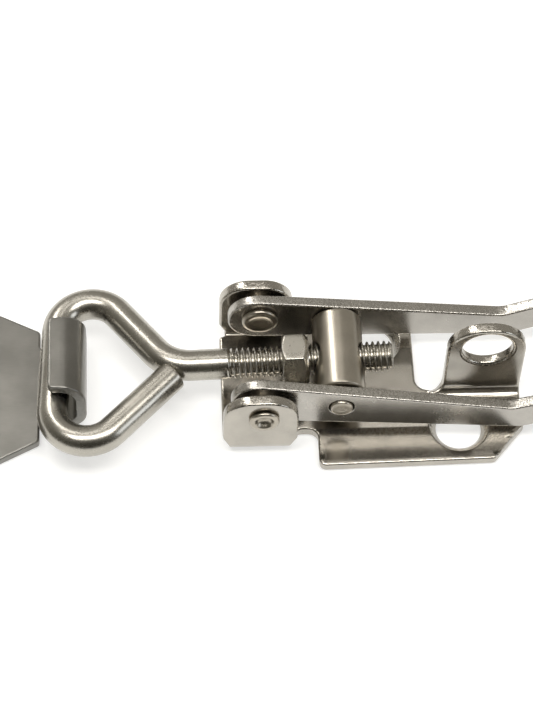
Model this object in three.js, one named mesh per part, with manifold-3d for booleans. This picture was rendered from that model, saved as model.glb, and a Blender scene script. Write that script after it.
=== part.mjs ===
// Adjustable toggle bolt latch with a padlock eye and its keeper plate, shown closed.
// Millimetres. X runs along the bolt towards the lever's grip, Y away from the side with the
// drilled wing, Z up. The origin is on the base plate's underside, below the lever's pivot.
import * as THREE from "three";
import { mergeVertices } from "three/addons/utils/BufferGeometryUtils.js";
import Module from "manifold-3d";

const wasm = await Module();
wasm.setup();

// Driving dimensions.
const FIT = 0.3; // clear gap between neighbouring pieces
const PAST = 2; // how far a cutter runs past the face it cuts
const ROUND_SIDES = 24;
const ARC_STEPS = 8;

const BASE = {
  thickness: 3,
  left: -10,
  earRight: 8.5,
  earOuterY: 18.65,
  earHeight: 22.3,
  earCorner: 7,
  bendOuter: 4,
  reliefWidth: 1.4,
  reliefLow: 3,
  reliefTop: 6.2,
  notchRadius: 2.6,
  notchTurn: Math.PI * 0.8,
  nearNotchY: 13.9,
  farNotchY: 15.8,
  wingLeft: 13.9,
  wingOuterY: 23.4,
  nearWingLeftY: 24.4, // the near wing is a little wider at its left end
  wingCorner: 1.5,
  farWingRight: 39.4,
  cutStartX: 57.9,
  right: 65.9,
  cutEndY: 14,
};
const SLOT = { left: 39.4, right: 46.1, bottomY: -2.8 };
const NEAR_HOLE = { x: 49.5, y: -13.4 };
const FAR_HOLE = { x: 28.8, y: 12 };
const PLATE_HOLE = { radius: 5.7, rimRadius: 7.6, straight: 0.6 };
const EYE = {
  left: 46.1,
  right: 65.6,
  frontY: -3.1,
  height: 28.9,
  shoulder: 9,
  bendInner: 2.6,
  holeX: 56,
  holeZ: 20.9,
  holeRadius: 6.3,
};

const PIVOT = { x: 0, z: 15.8 };
const ARM = {
  innerY: 11.6, // at the barrel
  thickness: 2.9,
  splay: 0.0018, // the arms spread by this share of their spacing for each mm towards the grip
  endX: -0.7,
  endZ: 15,
  endRadius: 7.3,
  topAtPivot: 22.2,
  bottomAtPivot: 7.75,
  kinkX: 62,
  topAtKink: 12.9,
};
const GRIP = {
  rise: THREE.MathUtils.degToRad(21),
  length: 46,
  height: 8.6,
  lowerKink: -0.4,
  webStart: 16,
  lap: 0.5,
  bend: 4,
  endRadius: 9,
};

const RIVET = {
  shankRadius: 3,
  headRadius: 4.5,
  headThickness: 1.2,
  headEdge: 0.6,
  crownRadius: 3.6,
  crownDrop: 0.15,
  tailRadius: 3.8,
  tailHeight: 1,
  tailEdge: 0.5,
  dimpleRadius: 2.3,
  dimpleFloor: 1.4,
  dimpleDepth: 0.8,
};

const BARREL = {
  x: 19.35,
  z: 13.8,
  radius: 6.3,
  chamfer: 0.5,
  tenonRadius: 2.75,
  tenonProud: 0.6,
  countersinkRadius: 5.5,
};

// The bolt's own frame has its origin in the middle of the barrel and X along the rod.
const ROD_RADIUS = 3.97; // 5/16 inch rod
const BOLT_TILT = THREE.MathUtils.degToRad(2.8); // the hook end lies lower
const HOOK = {
  threadEnd: 13.6,
  chamfer: 0.9,
  firstBendX: -36.5,
  firstBendRadius: 12,
  outwardAngle: THREE.MathUtils.degToRad(48.5),
  farCorner: { x: -61.95, y: 11.45, radius: 8.5 },
  nearCorner: { x: -62.9, y: -11.95, radius: 8.75 },
  returnAngle: THREE.MathUtils.degToRad(45.5),
  returnLength: 21.6,
  steps: 72,
  sides: 16,
};
const NUT = {
  left: -14.1,
  thickness: 6.6,
  acrossFlats: 12.7,
  washerFace: 0.5,
  faceInset: 0.2,
  cornerSlope: THREE.MathUtils.degToRad(30),
};

const KEEPER = {
  thickness: 2.6,
  centreY: 0.9,
  left: -95,
  wallX: -43.8,
  height: 18,
  bendInner: 3.6,
  lipEnd: -53.1,
  tongueHalf: 11.2,
  lipHalf: 10.4,
  shoulderX: -55.8,
  shoulderHalf: 16.4,
  flareX: -66.5,
  plateHalf: 22,
  corner: 3,
  holeX: -82,
  holeY: 12,
  holeRadius: 3.3,
};

const metal = (color, roughness) =>
  new THREE.MeshStandardMaterial({ color, roughness, metalness: 1 });
const FINISH = {
  plate: metal(0xb4aca0, 0.32),
  lever: metal(0xb8b0a6, 0.3),
  rod: metal(0xb6b0a2, 0.28),
  pin: metal(0xa8a298, 0.34),
  keeper: metal(0x8f8f8a, 0.4),
};

// ---- solids ----

function solidOf(geometry) {
  const bare = geometry.clone();
  bare.deleteAttribute("normal");
  bare.deleteAttribute("uv");
  const merged = mergeVertices(bare, 1e-4);
  return new wasm.Manifold(
    new wasm.Mesh({
      numProp: 3,
      vertProperties: new Float32Array(merged.attributes.position.array),
      triVerts: new Uint32Array(merged.index.array),
    }),
  );
}

function meshOf(name, solid, material) {
  const data = solid.getMesh();
  const geometry = new THREE.BufferGeometry();
  geometry.setAttribute(
    "position",
    new THREE.BufferAttribute(new Float32Array(data.vertProperties), 3),
  );
  geometry.setIndex(new THREE.BufferAttribute(new Uint32Array(data.triVerts), 1));
  geometry.computeVertexNormals();
  const mesh = new THREE.Mesh(geometry, material);
  mesh.name = name;
  return mesh;
}

function extrude(shape, depth) {
  return new THREE.ExtrudeGeometry(shape, {
    depth,
    bevelEnabled: false,
    curveSegments: ARC_STEPS,
  });
}

// A plan outline, drawn in X and Y, standing from z0 to z1.
function alongZ(shape, z0, z1) {
  return solidOf(extrude(shape, z1 - z0).translate(0, 0, z0));
}

// A side outline, drawn in X and Z, running from y0 to y1.
function alongY(shape, y0, y1) {
  const turn = new THREE.Matrix4().makeBasis(
    new THREE.Vector3(1, 0, 0),
    new THREE.Vector3(0, 0, 1),
    new THREE.Vector3(0, -1, 0),
  );
  return solidOf(extrude(shape, y1 - y0).applyMatrix4(turn).translate(0, y1, 0));
}

// A cross-section, drawn in Y and Z, running from x0 to x1.
function alongX(shape, x0, x1) {
  const turn = new THREE.Matrix4().makeBasis(
    new THREE.Vector3(0, 1, 0),
    new THREE.Vector3(0, 0, 1),
    new THREE.Vector3(1, 0, 0),
  );
  return solidOf(extrude(shape, x1 - x0).applyMatrix4(turn).translate(x0, 0, 0));
}

// A turned piece: profile points are [radius, place along the axis].
function turned(points, axis) {
  const profile = points.map(([radius, along]) => new THREE.Vector2(radius, along));
  const lathe = new THREE.LatheGeometry(profile, ROUND_SIDES);
  if (axis === "x") lathe.rotateZ(-Math.PI / 2);
  if (axis === "z") lathe.rotateX(Math.PI / 2);
  return solidOf(lathe);
}

function rod(radius, from, to, axis) {
  return turned(
    [
      [0, from],
      [radius, from],
      [radius, to],
      [0, to],
    ],
    axis,
  );
}

// ---- base plate ----

function floorOutline() {
  const b = BASE;
  const flatY = b.earOuterY - b.bendOuter;
  const notchX = b.earRight + b.notchRadius;
  const nearNotch = -b.nearNotchY - b.notchRadius;
  const farNotch = b.farNotchY + b.notchRadius;
  const inner = b.wingOuterY - b.wingCorner;
  const shape = new THREE.Shape();
  shape.moveTo(b.left, -flatY);
  shape.lineTo(b.earRight, -flatY);
  shape.absarc(notchX, nearNotch, b.notchRadius, b.notchTurn, 0, true);
  const nearInner = b.nearWingLeftY - b.wingCorner;
  shape.lineTo(b.wingLeft, -nearInner);
  shape.absarc(b.wingLeft + b.wingCorner, -nearInner, b.wingCorner, Math.PI, Math.PI * 1.5, false);
  shape.lineTo(b.cutStartX, -b.wingOuterY);
  shape.lineTo(b.right, -b.cutEndY);
  shape.lineTo(b.right, EYE.frontY - EYE.bendInner);
  shape.lineTo(EYE.left, EYE.frontY - EYE.bendInner);
  shape.lineTo(EYE.left, 0);
  shape.lineTo(b.farWingRight, 0);
  shape.lineTo(b.farWingRight, inner);
  shape.absarc(b.farWingRight - b.wingCorner, inner, b.wingCorner, 0, Math.PI / 2, false);
  shape.lineTo(b.wingLeft + b.wingCorner, b.wingOuterY);
  shape.absarc(b.wingLeft + b.wingCorner, inner, b.wingCorner, Math.PI / 2, Math.PI, false);
  shape.lineTo(b.wingLeft, farNotch);
  shape.absarc(notchX, farNotch, b.notchRadius, 0, -b.notchTurn, true);
  shape.lineTo(b.earRight, b.farNotchY);
  shape.lineTo(b.earRight, flatY);
  shape.lineTo(b.left, flatY);
  return shape;
}

// A U of sheet metal with round bends, its floor's underside at z = bottom.
function channelSection(outer, thickness, bend, bottom, top) {
  const inner = outer - thickness;
  const centreY = outer - bend;
  const centreZ = bottom + bend;
  const shape = new THREE.Shape();
  shape.moveTo(-outer, top);
  shape.lineTo(-outer, centreZ);
  shape.absarc(-centreY, centreZ, bend, Math.PI, Math.PI * 1.5, false);
  shape.lineTo(centreY, bottom);
  shape.absarc(centreY, centreZ, bend, -Math.PI / 2, 0, false);
  shape.lineTo(outer, top);
  shape.lineTo(inner, top);
  shape.lineTo(inner, centreZ);
  shape.absarc(centreY, centreZ, bend - thickness, 0, -Math.PI / 2, true);
  shape.lineTo(-centreY, bottom + thickness);
  shape.absarc(-centreY, centreZ, bend - thickness, Math.PI * 1.5, Math.PI, true);
  shape.lineTo(-inner, top);
  return shape;
}

// An ear's face, narrower at the bend than above it.
function earOutline() {
  const b = BASE;
  const straight = b.earHeight - b.earCorner;
  const shape = new THREE.Shape();
  shape.moveTo(b.left + b.reliefWidth, 0);
  shape.lineTo(b.earRight - b.reliefWidth, 0);
  shape.lineTo(b.earRight - b.reliefWidth, b.reliefLow);
  shape.lineTo(b.earRight, b.reliefTop);
  shape.lineTo(b.earRight, straight);
  shape.absarc(b.earRight - b.earCorner, straight, b.earCorner, 0, Math.PI / 2, false);
  shape.lineTo(b.left + b.earCorner, b.earHeight);
  shape.absarc(b.left + b.earCorner, straight, b.earCorner, Math.PI / 2, Math.PI, false);
  shape.lineTo(b.left, b.reliefTop);
  shape.lineTo(b.left + b.reliefWidth, b.reliefLow);
  return shape;
}

// The section of the upturned eye and its bend from the floor.
function eyeSection() {
  const backY = EYE.frontY + BASE.thickness;
  const centreY = EYE.frontY - EYE.bendInner;
  const centreZ = BASE.thickness + EYE.bendInner;
  const outer = EYE.bendInner + BASE.thickness;
  const shape = new THREE.Shape();
  shape.moveTo(centreY - PAST, 0);
  shape.lineTo(centreY, 0);
  shape.absarc(centreY, centreZ, outer, -Math.PI / 2, 0, false);
  shape.lineTo(backY, EYE.height + PAST);
  shape.lineTo(EYE.frontY, EYE.height + PAST);
  shape.lineTo(EYE.frontY, centreZ);
  shape.absarc(centreY, centreZ, EYE.bendInner, 0, -Math.PI / 2, true);
  shape.lineTo(centreY - PAST, BASE.thickness);
  return shape;
}

// The eye's face: straight sides under a crowned top with round shoulders.
function eyeOutline() {
  const e = EYE;
  const straight = e.height - e.shoulder;
  const shape = new THREE.Shape();
  shape.moveTo(e.left, 0);
  shape.lineTo(e.right, 0);
  shape.lineTo(e.right, straight);
  shape.absarc(e.right - e.shoulder, straight, e.shoulder, 0, Math.PI / 2, false);
  shape.lineTo(e.left + e.shoulder, e.height);
  shape.absarc(e.left + e.shoulder, straight, e.shoulder, Math.PI / 2, Math.PI, false);
  return shape;
}

// A hole through the floor that opens out upwards, for a countersunk head.
function plateHole(place) {
  const h = PLATE_HOLE;
  const top = BASE.thickness;
  const slope = (h.rimRadius - h.radius) / (top - h.straight);
  return turned(
    [
      [0, -PAST],
      [h.radius, -PAST],
      [h.radius, h.straight],
      [h.rimRadius + PAST * slope, top + PAST],
      [0, top + PAST],
    ],
    "z",
  ).translate(place.x, place.y, 0);
}

function basePlate() {
  const b = BASE;
  const ears = alongX(
    channelSection(b.earOuterY, b.thickness, b.bendOuter, 0, b.earHeight + PAST),
    b.left,
    b.earRight,
  ).intersect(alongY(earOutline(), -b.earOuterY - PAST, b.earOuterY + PAST));
  const eye = alongX(eyeSection(), EYE.left, EYE.right).intersect(
    alongY(eyeOutline(), -b.wingOuterY, b.wingOuterY),
  );
  const slotRadius = (SLOT.right - SLOT.left) / 2;
  const slot = rod(slotRadius, -PAST, b.thickness + PAST, "z").translate(
    SLOT.left + slotRadius,
    SLOT.bottomY + slotRadius,
    0,
  );
  const eyeHole = rod(EYE.holeRadius, -b.thickness - PAST, PAST, "y");
  const pivotHole = rod(RIVET.shankRadius + FIT, -b.wingOuterY, b.wingOuterY, "y");
  let plate = alongZ(floorOutline(), 0, b.thickness).add(ears).add(eye).subtract(slot);
  plate = plate.subtract(plateHole(NEAR_HOLE)).subtract(plateHole(FAR_HOLE));
  plate = plate.subtract(eyeHole.translate(EYE.holeX, 0, EYE.holeZ));
  return plate.subtract(pivotHole.translate(PIVOT.x, 0, PIVOT.z));
}

// ---- lever ----

// A point in the grip's own frame, whose origin is the kink in the arms' top edges.
function fromKink(along, up) {
  const cos = Math.cos(GRIP.rise);
  const sin = Math.sin(GRIP.rise);
  return [ARM.kinkX + along * cos - up * sin, ARM.topAtKink + along * sin + up * cos];
}

// One arm's side outline from the pivot into the start of the grip.
function armOutline() {
  const g = GRIP;
  const shape = new THREE.Shape();
  shape.moveTo(PIVOT.x, ARM.topAtPivot);
  shape.lineTo(PIVOT.x, ARM.bottomAtPivot);
  shape.lineTo(...fromKink(g.lowerKink, -g.height));
  shape.lineTo(...fromKink(g.webStart, -g.height));
  shape.lineTo(...fromKink(g.webStart + g.lap, g.bend - g.height));
  shape.lineTo(...fromKink(g.webStart + g.lap, 0));
  shape.lineTo(ARM.kinkX, ARM.topAtKink);
  return shape;
}

// The grip: both arms joined by a floor, with round bends and a rounded end.
function grip() {
  const g = GRIP;
  const outerY = ARM.innerY + ARM.thickness;
  const roundX = g.length - g.endRadius;
  const plan = new THREE.Shape();
  plan.moveTo(g.webStart, -outerY - PAST);
  plan.lineTo(roundX, -outerY - PAST);
  plan.lineTo(roundX, -outerY);
  plan.absarc(roundX, g.endRadius - outerY, g.endRadius, -Math.PI / 2, 0, false);
  plan.lineTo(g.length, outerY - g.endRadius);
  plan.absarc(roundX, outerY - g.endRadius, g.endRadius, 0, Math.PI / 2, false);
  plan.lineTo(roundX, outerY + PAST);
  plan.lineTo(g.webStart, outerY + PAST);
  return alongX(
    channelSection(outerY, ARM.thickness, g.bend, -g.height, 0),
    g.webStart,
    g.length,
  )
    .intersect(alongZ(plan, -g.height - PAST, PAST))
    .rotate(0, -THREE.MathUtils.radToDeg(g.rise), 0)
    .translate(ARM.kinkX, 0, ARM.topAtKink);
}

// How much wider the lever is at x than at the barrel.
const splayAt = (x) => 1 + ARM.splay * (x - BARREL.x);

function lever() {
  const outerY = ARM.innerY + ARM.thickness;
  let whole = grip();
  for (const side of [-1, 1]) {
    const y0 = side < 0 ? -outerY : ARM.innerY;
    const end = rod(ARM.endRadius, y0, y0 + ARM.thickness, "y").translate(ARM.endX, 0, ARM.endZ);
    whole = whole.add(alongY(armOutline(), y0, y0 + ARM.thickness)).add(end);
  }
  const pivotHole = rod(RIVET.shankRadius + FIT, -outerY - PAST, outerY + PAST, "y");
  const tenonHole = rod(BARREL.tenonRadius + FIT, -outerY - PAST, outerY + PAST, "y");
  return whole
    .subtract(pivotHole.translate(PIVOT.x, 0, PIVOT.z))
    .subtract(tenonHole.translate(BARREL.x, 0, BARREL.z))
    .warp((vertex) => {
      vertex[1] *= splayAt(vertex[0]);
    });
}

// ---- pins ----

// A rivet through one arm and one ear: a low domed head inside, a dimpled tail outside.
function pivotRivet(side) {
  const r = RIVET;
  const headSeat = ARM.innerY * splayAt(PIVOT.x - r.headRadius) - FIT;
  const headTop = headSeat - r.headThickness;
  const tailSeat = BASE.earOuterY + FIT;
  const tailTop = tailSeat + r.tailHeight;
  const profile = [
    [0, headTop],
    [r.crownRadius, headTop + r.crownDrop],
    [r.headRadius, headTop + r.headEdge],
    [r.headRadius, headSeat],
    [r.shankRadius, headSeat],
    [r.shankRadius, tailSeat],
    [r.tailRadius, tailSeat],
    [r.tailRadius, tailTop - r.tailEdge],
    [r.tailRadius - r.tailEdge, tailTop],
    [r.dimpleRadius, tailTop],
    [r.dimpleFloor, tailTop - r.dimpleDepth],
    [0, tailTop - r.dimpleDepth],
  ];
  const rivet = turned(profile, "y");
  const placed = side < 0 ? rivet.rotate(180, 0, 0) : rivet;
  return placed.translate(PIVOT.x, 0, PIVOT.z);
}

// The cross barrel that the bolt screws through, in the bolt's frame.
function trunnionBarrel() {
  const half = ARM.innerY * splayAt(BARREL.x - BARREL.radius) - FIT;
  const tip = ARM.innerY + ARM.thickness + BARREL.tenonProud;
  const chamfer = BARREL.chamfer;
  const body = turned(
    [
      [0, -tip],
      [BARREL.tenonRadius - chamfer, -tip],
      [BARREL.tenonRadius, chamfer - tip],
      [BARREL.tenonRadius, -half],
      [BARREL.radius - chamfer, -half],
      [BARREL.radius, chamfer - half],
      [BARREL.radius, half - chamfer],
      [BARREL.radius - chamfer, half],
      [BARREL.tenonRadius, half],
      [BARREL.tenonRadius, tip - chamfer],
      [BARREL.tenonRadius - chamfer, tip],
      [0, tip],
    ],
    "y",
  );
  const bore = ROD_RADIUS + FIT;
  const rim = BARREL.countersinkRadius;
  const out = BARREL.radius + PAST;
  const deep = BARREL.radius - (rim - bore);
  const drill = turned(
    [
      [0, -out],
      [rim + PAST, -out],
      [bore, -deep],
      [bore, deep],
      [rim + PAST, out],
      [0, out],
    ],
    "x",
  );
  return body.subtract(drill);
}

// ---- hook bolt and nut, in the bolt's frame ----

// A flat path in the bolt's plane, swept by the round wire.
class FlatPath extends THREE.Curve {
  constructor(path) {
    super();
    this.path = path;
  }

  getPoint(t, target = new THREE.Vector3()) {
    const point = this.path.getPoint(t);
    return target.set(point.x, point.y, 0);
  }
}

// Straight rod, first bend outwards, far corner, leg across the keeper, near corner, return.
function hookPath() {
  const h = HOOK;
  const quarter = Math.PI / 2;
  const legSlant = Math.atan2(
    h.farCorner.x - h.farCorner.radius - (h.nearCorner.x - h.nearCorner.radius),
    h.farCorner.y - h.nearCorner.y,
  );
  const path = new THREE.Path();
  path.moveTo(h.threadEnd, 0);
  path.lineTo(h.firstBendX, 0);
  path.absarc(
    h.firstBendX,
    h.firstBendRadius,
    h.firstBendRadius,
    -quarter,
    -quarter - h.outwardAngle,
    true,
  );
  const far = h.farCorner;
  path.absarc(far.x, far.y, far.radius, quarter - h.outwardAngle, Math.PI - legSlant, false);
  const near = h.nearCorner;
  const turnEnd = Math.PI * 1.5 + h.returnAngle;
  path.absarc(near.x, near.y, near.radius, Math.PI - legSlant, turnEnd, false);
  path.lineTo(
    near.x + near.radius * Math.cos(turnEnd) + h.returnLength * Math.cos(h.returnAngle),
    near.y + near.radius * Math.sin(turnEnd) + h.returnLength * Math.sin(h.returnAngle),
  );
  return new FlatPath(path);
}

function hookBolt() {
  const section = new THREE.Shape();
  section.absarc(0, 0, ROD_RADIUS, 0, Math.PI * 2, false);
  const wire = new THREE.ExtrudeGeometry(section, {
    steps: HOOK.steps,
    curveSegments: HOOK.sides / 2,
    extrudePath: hookPath(),
  });
  const end = HOOK.threadEnd;
  const reach = ROD_RADIUS + PAST;
  const chamferCutter = turned(
    [
      [ROD_RADIUS - HOOK.chamfer, end + FIT],
      [ROD_RADIUS - HOOK.chamfer, end],
      [reach, end - HOOK.chamfer - PAST],
      [reach, end + FIT],
      [ROD_RADIUS - HOOK.chamfer, end + FIT],
    ],
    "x",
  );
  return solidOf(wire).subtract(chamferCutter);
}

function lockNut() {
  const n = NUT;
  const cornerRadius = n.acrossFlats / Math.sqrt(3);
  const hexagon = new THREE.Shape();
  for (let i = 0; i < 6; i++) {
    const angle = (i * Math.PI) / 3;
    const y = cornerRadius * Math.cos(angle);
    const z = cornerRadius * Math.sin(angle);
    if (i === 0) hexagon.moveTo(y, z);
    else hexagon.lineTo(y, z);
  }
  const right = n.left + n.thickness;
  const faceRadius = n.acrossFlats / 2 - n.faceInset;
  const slope = (cornerRadius - faceRadius) * Math.tan(n.cornerSlope);
  const envelope = turned(
    [
      [0, n.left],
      [faceRadius, n.left],
      [cornerRadius, n.left + slope],
      [cornerRadius, right - n.washerFace - slope],
      [faceRadius, right - n.washerFace],
      [faceRadius, right],
      [0, right],
    ],
    "x",
  );
  const bore = rod(ROD_RADIUS + FIT, n.left - PAST, right + PAST, "x");
  return alongX(hexagon, n.left, right).intersect(envelope).subtract(bore);
}

// ---- keeper plate ----

// The side profile: flat plate, a wall with a round bend at each end, short lip.
function keeperProfile() {
  const k = KEEPER;
  const outer = k.bendInner + k.thickness;
  const bendX = k.wallX - outer;
  const highZ = k.height - outer;
  const shape = new THREE.Shape();
  shape.moveTo(k.left, 0);
  shape.lineTo(bendX, 0);
  shape.absarc(bendX, outer, outer, -Math.PI / 2, 0, false);
  shape.absarc(bendX, highZ, outer, 0, Math.PI / 2, false);
  shape.lineTo(k.lipEnd, k.height);
  shape.lineTo(k.lipEnd, k.height - k.thickness);
  shape.lineTo(bendX, k.height - k.thickness);
  shape.absarc(bendX, highZ, k.bendInner, Math.PI / 2, 0, true);
  shape.absarc(bendX, outer, k.bendInner, 0, -Math.PI / 2, true);
  shape.lineTo(k.left, k.thickness);
  return shape;
}

function keeperPlan() {
  const k = KEEPER;
  const tip = k.wallX + PAST;
  const shape = new THREE.Shape();
  shape.moveTo(k.left + k.corner, -k.plateHalf);
  shape.lineTo(k.flareX, -k.plateHalf);
  shape.lineTo(k.shoulderX, -k.shoulderHalf);
  shape.lineTo(k.shoulderX, -k.tongueHalf);
  shape.lineTo(tip, -k.tongueHalf);
  shape.lineTo(tip, k.tongueHalf);
  shape.lineTo(k.shoulderX, k.tongueHalf);
  shape.lineTo(k.shoulderX, k.shoulderHalf);
  shape.lineTo(k.flareX, k.plateHalf);
  shape.lineTo(k.left + k.corner, k.plateHalf);
  shape.absarc(
    k.left + k.corner,
    k.plateHalf - k.corner,
    k.corner,
    Math.PI / 2,
    Math.PI,
    false,
  );
  shape.lineTo(k.left, k.corner - k.plateHalf);
  shape.absarc(
    k.left + k.corner,
    k.corner - k.plateHalf,
    k.corner,
    Math.PI,
    Math.PI * 1.5,
    false,
  );
  return shape;
}

function keeperPlate() {
  const k = KEEPER;
  const top = k.height + PAST;
  let plate = alongY(keeperProfile(), -k.plateHalf - PAST, k.plateHalf + PAST).intersect(
    alongZ(keeperPlan(), -PAST, top),
  );
  for (const side of [-1, 1]) {
    const drill = rod(k.holeRadius, -PAST, k.thickness + PAST, "z");
    plate = plate.subtract(drill.translate(k.holeX, side * k.holeY, 0));
    // The lip narrows a little towards its free edge.
    const trim = new THREE.Shape();
    trim.moveTo(k.lipEnd - PAST, side * k.lipHalf);
    trim.lineTo(k.wallX, side * k.tongueHalf);
    trim.lineTo(k.lipEnd - PAST, side * k.tongueHalf);
    plate = plate.subtract(alongZ(trim, k.height / 2, top));
  }
  return plate.translate(0, k.centreY, 0);
}

// ---- assembly ----

const latch = new THREE.Group();
latch.add(meshOf("base_plate", basePlate(), FINISH.plate));
latch.add(meshOf("lever", lever(), FINISH.lever));
latch.add(meshOf("pivot_rivet_near", pivotRivet(-1), FINISH.pin));
latch.add(meshOf("pivot_rivet_far", pivotRivet(1), FINISH.pin));
latch.add(meshOf("keeper_plate", keeperPlate(), FINISH.keeper));

const boltLine = new THREE.Group();
boltLine.position.set(BARREL.x, 0, BARREL.z);
boltLine.rotation.y = -BOLT_TILT;
boltLine.add(meshOf("trunnion_barrel", trunnionBarrel(), FINISH.pin));
boltLine.add(meshOf("hook_bolt", hookBolt(), FINISH.rod));
boltLine.add(meshOf("lock_nut", lockNut(), FINISH.rod));
latch.add(boltLine);

export default latch;
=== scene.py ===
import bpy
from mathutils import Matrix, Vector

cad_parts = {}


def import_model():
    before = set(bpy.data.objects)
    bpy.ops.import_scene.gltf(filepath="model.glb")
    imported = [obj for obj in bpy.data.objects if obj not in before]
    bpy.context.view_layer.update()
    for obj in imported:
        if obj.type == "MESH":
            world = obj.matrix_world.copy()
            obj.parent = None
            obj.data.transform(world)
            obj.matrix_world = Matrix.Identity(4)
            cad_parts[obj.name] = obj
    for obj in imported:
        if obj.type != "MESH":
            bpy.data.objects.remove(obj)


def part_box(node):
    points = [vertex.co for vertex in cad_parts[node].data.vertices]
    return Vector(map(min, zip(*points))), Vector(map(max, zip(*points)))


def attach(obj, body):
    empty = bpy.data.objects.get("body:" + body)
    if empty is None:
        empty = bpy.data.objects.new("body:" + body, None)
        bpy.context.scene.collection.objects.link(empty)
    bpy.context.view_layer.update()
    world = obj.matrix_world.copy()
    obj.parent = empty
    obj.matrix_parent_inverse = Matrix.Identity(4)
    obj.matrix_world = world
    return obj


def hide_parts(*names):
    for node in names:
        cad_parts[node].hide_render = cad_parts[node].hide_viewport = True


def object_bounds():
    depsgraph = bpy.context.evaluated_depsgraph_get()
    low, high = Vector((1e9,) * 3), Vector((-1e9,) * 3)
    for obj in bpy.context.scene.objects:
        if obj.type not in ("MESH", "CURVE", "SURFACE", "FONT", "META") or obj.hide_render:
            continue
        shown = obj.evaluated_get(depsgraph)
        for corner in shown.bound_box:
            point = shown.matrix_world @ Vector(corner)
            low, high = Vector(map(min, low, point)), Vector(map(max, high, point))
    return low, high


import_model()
cad_box = [list(corner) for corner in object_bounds()]

import math

import bmesh
import bpy
import numpy as np
from mathutils import Matrix, Vector
from mathutils.geometry import delaunay_2d_cdt

# Shapes are drawn in millimetres and turned into metres when a mesh is made.
MM = 0.001

# ---- dimensions shared with the CAD (mm) ----

BASE_LOW, BASE_HIGH = (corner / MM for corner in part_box("base_plate"))
KEEPER_LOW, KEEPER_HIGH = (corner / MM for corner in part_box("keeper_plate"))
BARREL_LOW, BARREL_HIGH = (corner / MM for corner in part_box("trunnion_barrel"))
BARREL_CENTRE = (BARREL_LOW + BARREL_HIGH) / 2
PIVOT_Z = sum(corner.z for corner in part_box("pivot_rivet_near")) / MM / 2

BASE_THICKNESS = 3.0
EAR_RIGHT = 8.5
EAR_OUTER = 18.65
EAR_HEIGHT = 22.3
EAR_BEND = 4.0
RELIEF_WIDTH = 1.4
RELIEF_LOW = 3.2
RELIEF_TOP = 6.2
NOTCH_RADIUS = 2.6
NEAR_NOTCH = 13.9
FAR_NOTCH = 15.8
WING_LEFT = 13.9
FAR_WING_RIGHT = 39.4
WING_OUTER = 23.4
CUT_START = 57.9
CUT_END = 14.0
SLOT_LEFT = 39.4
EYE_LEFT = 46.1
EYE_RIGHT = 65.6
SLOT_BOTTOM = -2.8
EYE_FRONT = -3.1
EYE_BEND_INNER = 2.6
EYE_HOLE = (56.0, 20.9, 6.3)
PLATE_HOLES = ((49.5, -13.4), (28.8, 12.0))
PLATE_HOLE = 5.7
PLATE_HOLE_RIM = 7.6
PIVOT_HOLE = 3.25
PIN_HOLE_SIDES = 48
BASE_EDGE = 0.6
PLATE_HOLE_EDGE = 0.3
EYE_EDGE = 0.85
PIN_HOLE_EDGE = 0.25

# Corner radii and small steps of the base plate's blank.
EAR_CORNER = 7.5
RELIEF_CORNER = 0.8
EAR_FOOT_CORNER = 0.6
EAR_FOOT_INSIDE = 0.3
EAR_FOOT_OUTSIDE = 0.2
EAR_WAIST_END = 2.2
NOTCH_FIT = 0.98
NOTCH_EAR_SHARE = 0.9
FAR_NOTCH_INSET = 0.4
WING_CORNER = 1.8
CUT_CORNER = 1.6
FAR_WING_CORNER = 2.0
EYE_SHOULDER = 9
EYE_FOOT_CORNER = 1.0
EYE_FOOT_LOW = 2.5
EYE_FOOT_HIGH = 1.0
SLOT_CORNER = 3.2
EAR_BEND_ZONE = 5.5
EYE_BEND_ZONE = 0.5

ARM_INNER = 11.6
ARM_SPLAY = 0.0018
LEVER_THICKNESS = 2.9
ARM_END = (-0.7, 15.0, 7.3)
KINK = (62.0, 12.9)
GRIP_RISE = math.radians(21)
GRIP_LENGTH = 46.0
GRIP_HEIGHT = 8.6
GRIP_BEND = 4.0
LOWER_KINK = -0.4
WEB_START = 17.0
TENON_HOLE = 3.2
LEVER_EDGE = 0.45

# Corners of the lever's blank: the notch before the web, the kinks and the grip's end.
WEB_NOTCH = 3.2
WEB_NOTCH_ABOVE_BEND = 0.6
WEB_NOTCH_CORNER = 1.4
WEB_NOTCH_LOW_CORNER = 2.0
ARM_ONLY_MARGIN = 1.6
LOWER_KINK_CORNER = 7.0
UPPER_KINK_CORNER = 6.0
GRIP_CORNER = 13.0
ARM_END_FROM = math.radians(-87)
ARM_END_TO = math.radians(-276)
ARM_END_STEPS = 26
GRIP_BEND_ZONE = 0.5

BOLT_TILT = math.radians(2.8)
# The rod's radius, 0.07 less than the CAD's, so that the smooth hook stays inside its box.
ROD = 3.9
THREAD_END = 13.6
THREAD_START = -28.5
PITCH = 25.4 / 18
THREAD_SAMPLES = 12
THREAD_DEPTH = 0.6 * PITCH
THREAD_CREST = 0.02
THREAD_GROOVE_IN = (0.1, 0.44)
THREAD_GROOVE_OUT = (0.66, 1.0)
RUNOUT_TURNS = 2
THREAD_CHAMFER = 1.0
THREAD_TIP_INSET = 1.25
THREAD_TIP_BACK = 0.06
ROD_SIDES = 56
ROD_END_ROUND = 0.45
ROD_END_INSET = 0.6
ROD_END_CENTRE = 0.4
FIRST_BEND = (-36.5, 12.0)
OUTWARD = math.radians(48.5)
FAR_CORNER = (-61.95, 11.45, 8.5)
NEAR_CORNER = (-62.9, -11.95, 8.75)
RETURN = math.radians(45.5)
RETURN_LENGTH = 21.6
NUT_LEFT = -14.1
NUT_THICKNESS = 6.6
NUT_FLATS = 12.7
NUT_SIDE_STEPS = 16
NUT_CROWDING = 0.6
NUT_CORNER_WEAR = 0.992
NUT_CORNER_POWER = 90
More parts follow.
